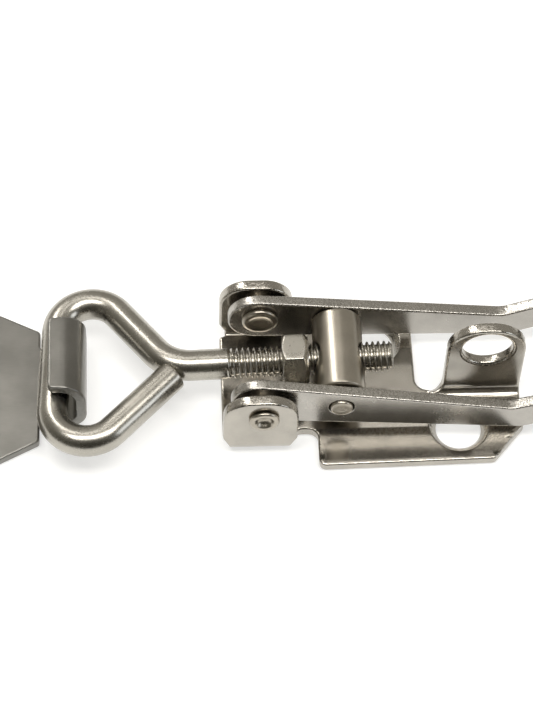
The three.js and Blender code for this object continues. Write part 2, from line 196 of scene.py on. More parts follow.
NUT_FACE_INSET = 0.25
NUT_CHAMFER = math.radians(28)
NUT_BORE_GAP = 0.08
# Pairs of how deep and how wide the nut's threaded mouth opens.
NUT_MOUTH = ((0.9, 0.0), (0.12, 0.78), (0.0, 0.95))
NUT_SIDE_LEVELS = (0.05, 0.3, 0.6, 0.95)
NUT_ROUNDING = 0.03

KEEPER_THICKNESS = 2.6
KEEPER_Y = 0.9
KEEPER_BEND_INNER = 3.6
LIP_END = -53.1
SHOULDER_X = -55.8
SHOULDER_HALF = 16.4
FLARE_X = -66.5
TONGUE_HALF = 11.2
LIP_HALF = 10.4
KEEPER_HOLE_X = -82
KEEPER_HOLE_Y = 12
KEEPER_HOLE = 3.3
KEEPER_HOLE_EDGE = 0.35
KEEPER_EDGE = 0.5
KEEPER_CORNER = 3.0
FLARE_CORNER = 4.0
SHOULDER_CORNER = 1.2
TONGUE_FOOT_CORNER = 1.0
TONGUE_TAPER_AT = 0.6
TONGUE_TAPER_CORNER = 6.0
LIP_CORNER = 1.4
KEEPER_BEND_STEP = 0.5

# The barrel and its cross hole.
BARREL_SIDES = 120
BARREL_LENGTH_STEPS = 44
BARREL_SHOULDER = 0.5
ARM_CLEARANCE = 0.3
TENON = 2.75
BARREL_BORE_GAP = 0.1
MOUTH_RIM = 4.75
MOUTH_SLOPE = 1.4
MOUTH_STEPS = 72
MOUTH_ROUNDS = 30
MOUTH_MIN_OPENING = 0.12
MOUTH_SPREAD = 0.22
MOUTH_EDGE_SPREAD = 0.08
MOUTH_BORE_INSET = 0.25
BORE_INNER_END = 1.0
BARREL_GRID_GAP = 0.2

# The rivets.
RIVET_SHANK = 3.0
RIVET_HEAD_THICKNESS = 1.2
RIVET_TAIL_HEIGHT = 1.0
RIVET_SIDES = 64
RIVET_WOBBLE = 0.012
RIVET_TAIL_SHEAR = 0.4


# ---- mesh code ----


WELD = 0.002


class Build:
    """Vertices and faces of one piece, with a mark on the vertices of sheared edges."""

    def __init__(self):
        self.points = []
        self.faces = []
        self.shear = []
        self.count = 0

    def add(self, points, shear=0.0):
        points = np.asarray(points, float).reshape(-1, 3)
        first = self.count
        self.points.append(points)
        self.shear.append(np.full(len(points), float(shear)))
        self.count += len(points)
        return np.arange(first, self.count)

    def strip(self, a, b):
        """Quads from one closed row of vertices to the next."""
        n = len(a)
        for i in range(n):
            j = (i + 1) % n
            self.faces.append((a[i], b[i], b[j], a[j]))

    def fan(self, ring, centre, flip=False):
        n = len(ring)
        for i in range(n):
            j = (i + 1) % n
            self.faces.append((ring[j], ring[i], centre) if flip else (ring[i], ring[j], centre))

    def lathe(self, rings, close_ends=True):
        """Joins rings of equal length, with each end closed on its middle point."""
        rows = [self.add(points, shear) for points, shear in rings]
        for a, b in zip(rows, rows[1:]):
            self.strip(a, b)
        if close_ends:
            for (points, shear), row in ((rings[0], rows[0]), (rings[-1], rows[-1])):
                middle = self.add([np.asarray(points).mean(0)], shear)[0]
                self.fan(row, middle, flip=row is rows[0])
        return rows

    def finish(self, name, node, body, slot, material, weld=False):
        """Makes the piece, which replaces its CAD node and rides on the node's body."""
        mesh = bpy.data.meshes.new(name)
        points = np.concatenate(self.points) * MM
        mesh.from_pydata(points.tolist(), [], [tuple(int(i) for i in f) for f in self.faces])
        marks = mesh.attributes.new("shear", "FLOAT", "POINT")
        marks.data.foreach_set("value", np.concatenate(self.shear).astype(np.float32))
        work = bmesh.new()
        work.from_mesh(mesh)
        if weld:
            bmesh.ops.remove_doubles(work, verts=work.verts, dist=WELD * MM)
        bmesh.ops.recalc_face_normals(work, faces=work.faces)
        work.to_mesh(mesh)
        work.free()
        mesh.shade_smooth()
        mesh.materials.append(material)
        piece = bpy.data.objects.new(name, mesh)
        bpy.context.scene.collection.objects.link(piece)
        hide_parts(node)
        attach(piece, body)
        return piece


STRAIGHT = 1e-4
ARC_STEP = 0.2


def rounded(corners, step=0.45):
    """A closed outline through (x, y, radius) corners, with points no further apart than step."""
    outline = []
    count = len(corners)
    for i, (x, y, radius) in enumerate(corners):
        here = np.array([x, y], float)
        back = np.array(corners[i - 1][:2], float) - here
        ahead = np.array(corners[(i + 1) % count][:2], float) - here
        back /= np.linalg.norm(back)
        ahead /= np.linalg.norm(ahead)
        angle = math.acos(np.clip(back @ ahead, -1, 1))
        if radius <= 0 or angle > math.pi - STRAIGHT:
            outline.append(here)
            continue
        start = here + back * radius / math.tan(angle / 2)
        bisector = (back + ahead) / np.linalg.norm(back + ahead)
        middle = here + bisector * radius / math.sin(angle / 2)
        turn = math.pi - angle
        if ahead[0] * back[1] - ahead[1] * back[0] < 0:
            turn = -turn
        steps = max(2, math.ceil(abs(turn) * radius / step), math.ceil(abs(turn) / ARC_STEP))
        arm = start - middle
        for k in range(steps + 1):
            c, s = math.cos(turn * k / steps), math.sin(turn * k / steps)
            outline.append(middle + (c * arm[0] - s * arm[1], s * arm[0] + c * arm[1]))
    dense = []
    for a, b in zip(outline, outline[1:] + outline[:1]):
        pieces = max(1, math.ceil(np.linalg.norm(b - a) / step))
        dense += [a + (b - a) * k / pieces for k in range(pieces)]
    return np.array(dense)


def circle(x, y, radius, count=72):
    """A closed outline that runs clockwise, as a hole in a sheet does."""
    a = -np.linspace(0, 2 * math.pi, count, endpoint=False)
    return np.stack([x + radius * np.cos(a), y + radius * np.sin(a)], -1)


def signed_area(loop):
    """Twice a closed loop's area, positive where it runs anticlockwise."""
    ahead = np.roll(loop, -1, 0)
    return sum(loop[:, 0] * ahead[:, 1] - loop[:, 1] * ahead[:, 0])


def miters(loop):
    """The vector that moves each point of a closed loop to its left by one unit of width."""
    ahead = np.roll(loop, -1, 0) - loop
    ahead /= np.linalg.norm(ahead, axis=1)[:, None]
    left = np.stack([-ahead[:, 1], ahead[:, 0]], -1)
    before = np.roll(left, 1, 0)
    return (left + before) / (1 + (left * before).sum(1))[:, None]


def inside(points, loops):
    """Whether each point lies in the area that the loops bound, by counting crossings."""
    hit = np.zeros(len(points), bool)
    x, y = points[:, 0], points[:, 1]
    for loop in loops:
        for (ax, ay), (bx, by) in zip(loop, np.roll(loop, -1, 0)):
            crosses = (ay > y) != (by > y)
            if crosses.any():
                at = ax + (y - ay) * (bx - ax) / (by - ay if by != ay else 1)
                hit ^= crosses & (x < at)
    return hit


CDT_EPSILON = 1e-5


def fill(loops, grid):
    """Triangles that fill the loops, as numbers of the loops' points and then the grid's."""
    edges, first = [], 0
    for loop in loops:
        n = len(loop)
        edges += [(first + i, first + (i + 1) % n) for i in range(n)]
        first += n
    points = [Vector(p) for p in np.concatenate(loops + [grid])]
    verts, _, triangles, origin, _, _ = delaunay_2d_cdt(points, edges, [], 0, CDT_EPSILON)
    flat = np.array([tuple(v) for v in verts])
    centres = np.array([flat[list(t)].mean(0) for t in triangles])
    kept = zip(inside(centres, loops), triangles)
    return [tuple(origin[i][0] for i in triangle) for keep, triangle in kept if keep]


def grid_between(loops, lines_u, lines_v, gap):
    """Grid points in the area that the loops bound, at least gap away from the loops."""
    grid = np.stack(np.meshgrid(lines_u, lines_v), -1).reshape(-1, 2)
    grid = grid[inside(grid, loops)]
    edge_points = np.concatenate(loops)
    nearest = np.array([np.min(np.hypot(*(edge_points - g).T)) for g in grid])
    return grid[nearest > gap]


EDGE_STEPS = 6
EDGE_MARGIN = 0.12
WALL_LEVELS = (0.33, -0.33)
WALL_MIN = 0.2
# How much wider than its rim, and how far below the top, a dished hole's shoulder runs.
RIM_SHOULDER = ((0.3, 0.0), (0.1, 0.015), (-0.1, 0.07))
RIM_DROP = 0.07
RIM_TAPER = 1.1
RIM_SLOPE = 1.15
FLARE_STEPS = np.linspace(0.08, 1, 9)
SHEET_GRID_GAP = 0.4


def edge_profile(thickness, radius, rim=None):
    """Steps from the top face round a sheared edge to the bottom: width and height of each."""
    half = thickness / 2
    arc = np.linspace(0, math.pi / 2, EDGE_STEPS)
    down = [(radius + EDGE_MARGIN, half)]
    down += [(radius * (1 - math.sin(a)), half - radius * (1 - math.cos(a))) for a in arc]
    below = [(width, -height) for width, height in reversed(down)]
    if rim:
        # A dished rim: a round shoulder, a slope and a short straight bore.
        deep = thickness - 2 * radius
        down = [(rim + wider, half - drop) for wider, drop in RIM_SHOULDER]
        for t in FLARE_STEPS:
            down.append((rim * (1 - t) ** RIM_TAPER, half - RIM_DROP - deep * t**RIM_SLOPE))
    elif half - radius > WALL_MIN:
        down += [(0.0, (half - radius) * k) for k in WALL_LEVELS]
    return down + below


def sheet(loops, thickness, lines_u, lines_v, bend):
    """A flat blank with rounded sheared edges, then bent.

    loops holds (outline, edge radius): the outer one runs anticlockwise, holes clockwise.
    A third number is how much wider a hole's dished rim is at the top.
    bend turns the blank's u, v and height above mid-thickness into x, y, z."""
    build = Build()
    half = thickness / 2
    flat = []
    top_rows, bottom_rows = [], []
    for loop, radius, *flare in loops:
        out = miters(loop)
        down = edge_profile(thickness, radius, *flare)
        rows = []
        for k, (width, height) in enumerate(down):
            level = loop + out * width
            points = bend(level[:, 0], level[:, 1], np.full(len(level), height))
            shear = 1.0 if 1 < k < len(down) - 2 else 0.0
            rows.append(build.add(points, shear))
        for a, b in zip(rows, rows[1:]):
            build.strip(a, b)
        flat.append(loop + out * down[0][0])
        top_rows.append(rows[0])
        bottom_rows.append(rows[-1])
    grid = grid_between(flat, lines_u, lines_v, SHEET_GRID_GAP)
    top = np.concatenate(top_rows + [build.add(bend(*grid.T, np.full(len(grid), half)))])
    low = np.concatenate(bottom_rows + [build.add(bend(*grid.T, np.full(len(grid), -half)))])
    for a, b, c in fill(flat, grid):
        build.faces.append((top[a], top[b], top[c]))
        build.faces.append((low[c], low[b], low[a]))
    return build


def spaced(start, end, *fine, coarse=1.6, close=0.45):
    """Grid lines from start to end, close together inside each (low, high) range of fine."""
    lines, at = [], start
    while at <= end:
        lines.append(at)
        near = any(low - close <= at < high for low, high in fine)
        at += close if near else coarse
    return np.array(lines)


def fold(run, height, radius, limit):
    """How far a bent strip reaches and rises, run mm of mid-surface past its fold line."""
    angle = np.clip(run / radius, 0, limit)
    rest = run - angle * radius
    reach = (radius - height) * np.sin(angle) + rest * np.cos(angle)
    rise = radius - (radius - height) * np.cos(angle) + rest * np.sin(angle)
    return reach, rise


# ---- base plate ----


DISH_START, DISH_LOW, DISH_END = 13.5, 20.8, 22.4
DISH_DEPTH = 0.55
DISH_CURVE = 1.6
DISH_EASE = 0.6
DISH_LIP = 0.35
PAST_BASE = 70.0


def dish(y):
    """How far a wing's upper face lies below the flat."""
    down = np.clip((y - DISH_START) / (DISH_LOW - DISH_START), 0, 1)
    up = np.clip((y - DISH_LOW) / (DISH_END - DISH_LOW), 0, 1)
    return DISH_DEPTH * (down * down * (DISH_CURVE - DISH_EASE * down) - DISH_LIP * up * up)


def right_of_dish(v):
    """Where the dish ends: past the plate on the near wing, at the slot on the far one."""
    return np.where(v < 0, PAST_BASE, FAR_WING_RIGHT + 1)


def base_bend(u, v, w):
    mid = BASE_THICKNESS / 2
    x, y, z = u.copy(), v.copy(), mid + w
    side = np.sign(v)
    ear_fold = EAR_OUTER - EAR_BEND
    ear = (u < EAR_RIGHT + NOTCH_RADIUS) & (np.abs(v) > ear_fold)
    reach, rise = fold(np.abs(v) - ear_fold, w, EAR_BEND - mid, math.pi / 2)
    y = np.where(ear, side * (ear_fold + reach), y)
    z = np.where(ear, mid + rise, z)
    eye_fold = EYE_FRONT - EYE_BEND_INNER
    eye = (u > (SLOT_LEFT + EYE_LEFT) / 2) & (v > eye_fold)
    reach, rise = fold(v - eye_fold, w, EYE_BEND_INNER + mid, math.pi / 2)
    y = np.where(eye, eye_fold + reach, y)
    z = np.where(eye, mid + rise, z)
    # The wings' upper face dips towards its outer edge and ends in a low lip.
    wing = (u > WING_LEFT) & (u < right_of_dish(v)) & (w > 0)
    z = np.where(wing, z - dish(np.abs(v)) * w / mid, z)
    return np.stack([x, y, z], -1)


def base_plate(material):
    mid = BASE_THICKNESS / 2
    ear_mid = EAR_BEND - mid
    ear_fold = EAR_OUTER - EAR_BEND
    quarter = math.pi / 2

    def up_ear(z):
        return ear_fold + z - mid - ear_mid + ear_mid * quarter

    eye_mid = EYE_BEND_INNER + mid
    eye_fold = EYE_FRONT - EYE_BEND_INNER

    def up_eye(z):
        return eye_fold + z - mid - eye_mid + eye_mid * quarter

    left, right = BASE_LOW.x, BASE_HIGH.x
    wing = WING_OUTER
    ear_top = up_ear(EAR_HEIGHT)
    eye_top = up_eye(BASE_HIGH.z)
    waist, low, high = RELIEF_WIDTH, up_ear(RELIEF_LOW), up_ear(RELIEF_TOP)
    relief = RELIEF_CORNER
    near = [
        (left, -ear_fold + EAR_FOOT_INSIDE, relief),
        (left + waist, -ear_fold - EAR_FOOT_OUTSIDE, EAR_FOOT_CORNER),
        (left + waist, -low, relief),
        (left, -high, relief),
        (left, -ear_top, EAR_CORNER),
        (EAR_RIGHT, -ear_top, EAR_CORNER),
        (EAR_RIGHT, -high, relief),
        (EAR_RIGHT - waist, -low, relief),
        (EAR_RIGHT - waist, -ear_fold - EAR_WAIST_END, relief),
    ]
    far = [(u, -v, radius) for u, v, radius in reversed(near)]
    notch = NOTCH_RADIUS * NOTCH_FIT
    outer = near + [
        (EAR_RIGHT, -NEAR_NOTCH, notch * NOTCH_EAR_SHARE),
        (WING_LEFT, -NEAR_NOTCH, notch),
        (WING_LEFT, BASE_LOW.y, WING_CORNER),
        (CUT_START, -wing, CUT_CORNER),
        (right, -CUT_END, CUT_CORNER),
        (right, eye_fold - EYE_FOOT_LOW, EYE_FOOT_CORNER),
        (EYE_RIGHT, eye_fold - EYE_FOOT_HIGH, EYE_FOOT_CORNER),
        (EYE_RIGHT, eye_top, EYE_SHOULDER),
        (EYE_LEFT, eye_top, EYE_SHOULDER),
        (EYE_LEFT, SLOT_BOTTOM, SLOT_CORNER),
        (SLOT_LEFT, SLOT_BOTTOM, SLOT_CORNER),
        (FAR_WING_RIGHT, wing, FAR_WING_CORNER),
        (WING_LEFT, wing, WING_CORNER),
        (WING_LEFT, FAR_NOTCH, notch),
        (EAR_RIGHT - FAR_NOTCH_INSET, FAR_NOTCH, notch * NOTCH_EAR_SHARE),
    ] + far
    loops = [(rounded(outer), BASE_EDGE)]
    flare = PLATE_HOLE_RIM - PLATE_HOLE
    loops += [(circle(x, y, PLATE_HOLE), PLATE_HOLE_EDGE, flare) for x, y in PLATE_HOLES]
    eye_x, eye_z, eye_radius = EYE_HOLE
    loops.append((circle(eye_x, up_eye(eye_z), eye_radius), EYE_EDGE))
    for side in (-1, 1):
        hole = circle(0, side * up_ear(PIVOT_Z), PIVOT_HOLE, PIN_HOLE_SIDES)
        loops.append((hole, PIN_HOLE_EDGE))
    zone = EAR_BEND_ZONE
    bends = [(side * ear_fold - zone, side * ear_fold + zone) for side in (-1, 1)]
    bends.append((eye_fold - EYE_BEND_ZONE, eye_fold + eye_mid * quarter + EYE_BEND_ZONE))
    lines_u = spaced(left, right)
    lines_v = spaced(-ear_top, ear_top, *bends)
    build = sheet(loops, BASE_THICKNESS, lines_u, lines_v, base_bend)
    return build.finish("base_plate_metal", "base_plate", "base", "plate_steel", material)


# ---- lever ----


def to_grip(x, z):
    """A point of an arm's side view in the grip's own frame, along it and up from its top edge."""
    along, up = x - KINK[0], z - KINK[1]
    c, s = math.cos(GRIP_RISE), math.sin(GRIP_RISE)
    return along * c + up * s, up * c - along * s


GRIP_MID = GRIP_BEND - LEVER_THICKNESS / 2
GRIP_FOLD = ARM_INNER + LEVER_THICKNESS - GRIP_BEND
ARM_SHIFT = GRIP_FOLD + GRIP_HEIGHT - GRIP_BEND + GRIP_MID * math.pi / 2
NOTCH_ALONG = WEB_START - ARM_ONLY_MARGIN


def splay(x):
    """How much wider the lever is at x than at the barrel."""
    return 1 + ARM_SPLAY * (x - BARREL_CENTRE.x)


def lever_bend(u, v, w):
    side = np.sign(v)
    mid = LEVER_THICKNESS / 2
    bottom = -GRIP_HEIGHT + mid
    reach, rise = fold(np.abs(v) - GRIP_FOLD, w, GRIP_MID, math.pi / 2)
    web = np.abs(v) < GRIP_FOLD
    y = np.where(web, v, side * (GRIP_FOLD + reach))
    up = np.where(web, bottom + w, bottom + rise)
    arm = u < NOTCH_ALONG
    y = np.where(arm, side * (ARM_INNER + mid - w), y)
    up = np.where(arm, np.abs(v) - ARM_SHIFT, up)
    c, s = math.cos(GRIP_RISE), math.sin(GRIP_RISE)
    x = KINK[0] + u * c - up * s
    return np.stack([x, y * splay(x), KINK[1] + u * s + up * c], -1)


def arm_corners():
    """One side of the lever's blank, from the web's front edge round the arm to the web's end."""

    def at(x, z, radius):
        along, up = to_grip(x, z)
        return (along, up + ARM_SHIFT, radius)

    low = ARM_SHIFT - GRIP_HEIGHT
    notch_top = GRIP_FOLD + GRIP_MID * math.pi / 2 + WEB_NOTCH_ABOVE_BEND
    corners = [
        (WEB_START, notch_top, WEB_NOTCH_CORNER),
        (WEB_START - WEB_NOTCH, notch_top, WEB_NOTCH_CORNER),
        (WEB_START - WEB_NOTCH, low, WEB_NOTCH_LOW_CORNER),
        (LOWER_KINK, low, LOWER_KINK_CORNER),
    ]
    x, z, radius = ARM_END
    start, end, steps = ARM_END_FROM, ARM_END_TO, ARM_END_STEPS
    for k in range(steps + 1):
        a = start + (end - start) * k / steps
        corners.append(at(x + radius * math.cos(a), z + radius * math.sin(a), 0))
    corners.append((0, ARM_SHIFT, UPPER_KINK_CORNER))
    corners.append((GRIP_LENGTH, ARM_SHIFT, GRIP_CORNER))
    return corners


def lever(material):
    half = arm_corners()
    mirrored = [(u, -v, radius) for u, v, radius in reversed(half)]
    outer = rounded(half + mirrored)
    if signed_area(outer) < 0:
        outer = outer[::-1]
    loops = [(outer, LEVER_EDGE)]
    pivot = (0, PIVOT_Z, PIVOT_HOLE)
    tenon = (BARREL_CENTRE.x, BARREL_CENTRE.z, TENON_HOLE)
    for side in (-1, 1):
        for x, z, radius in (pivot, tenon):
            along, up = to_grip(x, z)
            hole = circle(along, side * (up + ARM_SHIFT), radius, PIN_HOLE_SIDES)
            loops.append((hole, PIN_HOLE_EDGE))
    lines_u = spaced(outer[:, 0].min(), GRIP_LENGTH)
    start = GRIP_FOLD - GRIP_BEND_ZONE
    end = GRIP_FOLD + GRIP_MID * math.pi / 2 + GRIP_BEND_ZONE
    bends = [(start, end), (-end, -start)]
    lines_v = spaced(outer[:, 1].min(), outer[:, 1].max(), *bends)
    build = sheet(loops, LEVER_THICKNESS, lines_u, lines_v, lever_bend)
    return build.finish("lever_metal", "lever", "lever", "lever_steel", material)


# ---- keeper ----

KEEPER_MID = KEEPER_BEND_INNER + KEEPER_THICKNESS / 2
KEEPER_OUTER = KEEPER_BEND_INNER + KEEPER_THICKNESS
KEEPER_BEND_X = KEEPER_HIGH.x - KEEPER_OUTER
KEEPER_WALL = KEEPER_HIGH.z - 2 * KEEPER_OUTER
KEEPER_QUARTER = KEEPER_MID * math.pi / 2


def keeper_bend(u, v, w):
    """A flat plate, a quarter bend up into a wall, and a quarter bend back into the lip."""
    mid = KEEPER_THICKNESS / 2
    run = u - KEEPER_BEND_X
    low = np.clip(run / KEEPER_MID, 0, math.pi / 2)
    wall = np.clip(run - KEEPER_QUARTER, 0, KEEPER_WALL)
    past = run - KEEPER_QUARTER - KEEPER_WALL
    high = np.clip(past / KEEPER_MID, 0, math.pi / 2)
    tail = np.maximum(past - KEEPER_QUARTER, 0)
    reach = np.where(run > 0, (KEEPER_MID - w) * np.sin(low) * np.cos(high) - tail, run)
    rise = KEEPER_MID - (KEEPER_MID - w) * np.cos(low) + wall + (KEEPER_MID - w) * np.sin(high)
    return np.stack([KEEPER_BEND_X + reach, KEEPER_Y + v, mid + rise], -1)


def keeper_plate(material):
    left = KEEPER_LOW.x
    half = (KEEPER_HIGH.y - KEEPER_LOW.y) / 2
    turn = 2 * KEEPER_QUARTER + KEEPER_WALL
    lip = KEEPER_BEND_X + turn + (KEEPER_BEND_X - LIP_END)
    outer = [
        (left, -half, KEEPER_CORNER),
        (FLARE_X, -half, FLARE_CORNER),
        (SHOULDER_X, -SHOULDER_HALF, SHOULDER_CORNER),
        (SHOULDER_X, -TONGUE_HALF, TONGUE_FOOT_CORNER),
        (KEEPER_BEND_X + turn * TONGUE_TAPER_AT, -TONGUE_HALF, TONGUE_TAPER_CORNER),
        (lip, -LIP_HALF, LIP_CORNER),
    ]
    outer += [(u, -v, radius) for u, v, radius in reversed(outer)]
    loops = [(rounded(outer), KEEPER_EDGE)]
    for y in (-KEEPER_HOLE_Y, KEEPER_HOLE_Y):
        hole = circle(KEEPER_HOLE_X, y, KEEPER_HOLE, PIN_HOLE_SIDES)
        loops.append((hole, KEEPER_HOLE_EDGE))
    bend = (KEEPER_BEND_X, KEEPER_BEND_X + turn)
    lines_u = spaced(left, lip, bend, close=KEEPER_BEND_STEP)
    lines_v = spaced(-half, half)
    build = sheet(loops, KEEPER_THICKNESS, lines_u, lines_v, keeper_bend)
    return build.finish("keeper_plate_metal", "keeper_plate", "keeper", "keeper_steel", material)


# ---- pieces on the bolt's line ----


def on_bolt(points):
    """From the bolt's frame, with X along the rod, to the latch's."""
    points = np.asarray(points, float)
    c, s = math.cos(BOLT_TILT), math.sin(BOLT_TILT)
    x, y, z = points[..., 0], points[..., 1], points[..., 2]
    turned = np.stack([x * c - z * s, y, x * s + z * c], -1)
    return turned + np.array(BARREL_CENTRE)


def smooth(low, high, value):
    t = np.clip((value - low) / (high - low), 0, 1)
    return t * t * (3 - 2 * t)


def wire_path():
    """Centre points and directions of the bolt's bent part, from the threads to the free end."""
    legs = []
    quarter = math.pi / 2

    def line(start, end, step=1.0):
        start, end = np.array(start), np.array(end)
        length = np.linalg.norm(end - start)
        way = (end - start) / length
        for k in range(1, math.ceil(length / step) + 1):
            legs.append((start + way * length * k / math.ceil(length / step), way))

    def arc(x, y, radius, start, end, step=0.06):
        steps = math.ceil(abs(end - start) / step)
        sign = math.copysign(1, end - start)
        for k in range(1, steps + 1):
            a = start + (end - start) * k / steps
            out = np.array([math.cos(a), math.sin(a)])
            legs.append((np.array([x, y]) + radius * out, sign * np.array([-out[1], out[0]])))

    x, radius = FIRST_BEND
    line((THREAD_START, 0), (x, 0))
    arc(x, radius, radius, -quarter, -quarter - OUTWARD)
    fx, fy, fr = FAR_CORNER
    nx, ny, nr = NEAR_CORNER
    slant = math.atan2(fx - fr - (nx - nr), fy - ny)
    start = legs[-1][0]
    far_start = np.array([fx, fy]) + fr * np.array([math.sin(OUTWARD), math.cos(OUTWARD)])
    line(start, far_start)
    arc(fx, fy, fr, quarter - OUTWARD, math.pi - slant)
    near_start = np.array([nx, ny]) + nr * np.array([-math.cos(slant), math.sin(slant)])
    line(legs[-1][0], near_start)
    turn_end = math.pi * 1.5 + RETURN
    arc(nx, ny, nr, math.pi - slant, turn_end)
    end = legs[-1][0]
    line(end, end + RETURN_LENGTH * np.array([math.cos(RETURN), math.sin(RETURN)]))
    return legs


def thread_rings(around):
    """The threaded part's x and radius at each ring, from its chamfered end to its runout."""
    tip = np.full(len(around), ROD - THREAD_TIP_INSET)
    rings = [(THREAD_END, tip * 0.5), (THREAD_END, tip)]
    rows = round((THREAD_END - THREAD_START) / PITCH * THREAD_SAMPLES)
    for k in range(rows + 1):
        x = THREAD_END + (THREAD_START - THREAD_END) * k / rows
        phase = (x / PITCH - around / (2 * math.pi)) % 1
        groove = smooth(*THREAD_GROOVE_IN, phase) * (1 - smooth(*THREAD_GROOVE_OUT, phase))
        runout = smooth(THREAD_START, THREAD_START + RUNOUT_TURNS * PITCH, x)
        radius = ROD - THREAD_CREST - THREAD_DEPTH * groove * runout
        radius = np.minimum(radius, ROD - THREAD_CHAMFER + (THREAD_END - x))
        rings.append((x - (THREAD_TIP_BACK if k == 0 else 0), radius))
    return rings


def hook_bolt(material):
    around = np.linspace(0, 2 * math.pi, ROD_SIDES, endpoint=False)
    rings = []
    for x, radius in thread_rings(around):
        across, up = radius * np.cos(around), radius * np.sin(around)
        rings.append((on_bolt(np.stack([np.full(ROD_SIDES, x), across, up], -1)), 0.0))

    def wire_ring(centre, way, radius, back=0.0):
        side = np.array([-way[1], way[0]])
        # The thread's rings turn about +X, and the wire runs towards -X.
        flat = centre[None, :] - way * back - side[None, :] * (radius * np.cos(around))[:, None]
        return on_bolt(np.stack([flat[:, 0], flat[:, 1], radius * np.sin(around)], -1))

    legs = wire_path()
    for centre, way in legs[:-1]:
        rings.append((wire_ring(centre, way, ROD), 0.0))
    centre, way = legs[-1]
    for a in np.linspace(0, math.pi / 2, 6):
        radius = ROD - ROD_END_ROUND * (1 - math.cos(a))
        rings.append((wire_ring(centre, way, radius, ROD_END_ROUND * (1 - math.sin(a))), 0.6))
    rings.append((wire_ring(centre, way, ROD - ROD_END_INSET), 1.0))
    rings.append((wire_ring(centre, way, ROD * ROD_END_CENTRE), 1.0))
    build = Build()
    build.lathe(rings)
    return build.finish("hook_bolt_metal", "hook_bolt", "bolt", "rod_steel", material)


def lock_nut(material):
    apothem = NUT_FLATS / 2
    corner = apothem / math.cos(math.pi / 6)
    # Points crowd towards the six corners, which are a little worn.
    part = np.linspace(-1, 1, NUT_SIDE_STEPS, endpoint=False)
    part = np.sin(part * math.pi / 2) * NUT_CROWDING + part * (1 - NUT_CROWDING)
    angle = np.concatenate([(k + 0.5 + part / 2) * math.pi / 3 for k in range(6)])
    hexagon = apothem / np.cos(angle % (math.pi / 3) - math.pi / 6)
    power = NUT_CORNER_POWER
    hexagon = (hexagon**-power + (corner * NUT_CORNER_WEAR) ** -power) ** (-1 / power)
    face = apothem - NUT_FACE_INSET
    slope = math.tan(NUT_CHAMFER)
    left, right = NUT_LEFT, NUT_LEFT + NUT_THICKNESS
    bore = ROD + NUT_BORE_GAP

    def ring(x, radius):
        radius = np.broadcast_to(radius, angle.shape)
        x = np.broadcast_to(x, angle.shape)
        return on_bolt(np.stack([x, radius * np.cos(angle), radius * np.sin(angle)], -1)), 0.0

    drop = np.maximum(hexagon - face, 0) * slope
    rings = [ring(left + deep, bore + wide) for deep, wide in NUT_MOUTH]
    rings += [ring(left + deep, face - inset) for deep, inset in ((0.0, 0.3), (0.03, 0.05))]
    for gap, share in ((0.08, 0.5), (0.1, 0.9)):
        rings.append(ring(left + gap + drop * share, face + (hexagon - face) * share))
    rings.append(ring(left + 0.2 + drop, hexagon - NUT_ROUNDING))
    low, high = left + 0.25 + drop, right - 0.75 - drop
    rings += [ring(low + (high - low) * t, hexagon) for t in NUT_SIDE_LEVELS]
    rings.append(ring(right - 0.7 - drop, hexagon - NUT_ROUNDING))
    for gap, share in ((0.6, 0.9), (0.55, 0.5)):
        rings.append(ring(right - gap - drop * share, face + (hexagon - face) * share))
    # The round washer face stands a little proud of the flats on this side.
    for deep, inset in ((0.5, 0.0), (0.45, 0.25), (0.1, 0.3), (0.0, 0.45)):
        rings.append(ring(right - deep, face - inset))
    rings += [ring(right - deep, bore + wide) for deep, wide in reversed(NUT_MOUTH)]
    build = Build()
    rows = build.lathe(rings, close_ends=False)
    build.strip(rows[-1], rows[0])
    return build.finish("lock_nut_metal", "lock_nut", "nut", "rod_steel", material)


def mouth_radius(radius, bore, alpha, spread):
    """The cross hole's rim round a barrel of this radius, spread mm wider than the cone's cut."""
    r = np.full(MOUTH_STEPS, MOUTH_RIM)
    for _ in range(MOUTH_ROUNDS):
        across = np.sqrt(radius**2 - (r * np.sin(alpha)) ** 2)
        cut = MOUTH_RIM - (radius - across) * MOUTH_SLOPE
        r = 0.5 * r + 0.5 * np.maximum(bore + MOUTH_MIN_OPENING, cut)
    return r + spread


def cross_hole(build, radius, alpha):
    """Adds the barrel's cross hole, and gives its rims on the unrolled side and its rows."""
    bore = ROD + BARREL_BORE_GAP
    turn = 2 * math.pi * radius
    across, up = np.cos(alpha), np.sin(alpha)
    inner = np.sqrt(radius**2 - bore**2) - MOUTH_BORE_INSET
    cone_end = np.minimum(radius - (MOUTH_RIM - bore) / MOUTH_SLOPE, inner)
    rims, sides = [], []
    for side, share in ((1, 0.25), (-1, 0.75)):
        wide = mouth_radius(radius, bore, alpha, MOUTH_SPREAD)
        u = turn * share + side * np.arcsin(wide * up / radius) * radius
        rims.append(np.stack([u, wide * across], -1))
        rows = []
        for shrink, depth in ((0.0, 0.0), (-0.08, 0.1)):
            r = mouth_radius(radius, bore, alpha, MOUTH_EDGE_SPREAD) + shrink
            x = side * (np.sqrt(radius**2 - (r * up) ** 2) - depth)
            rows.append(build.add(np.stack([x, r * across, r * up], -1)))
        for depth in (cone_end, BORE_INNER_END):
            x = np.full(MOUTH_STEPS, side * depth)
            rows.append(build.add(np.stack([x, bore * across, bore * up], -1)))
        for a, b in zip(rows, rows[1:]):
            build.strip(a, b)
        sides.append(rows)
    build.strip(sides[0][-1], sides[1][-1])
    return rims, sides


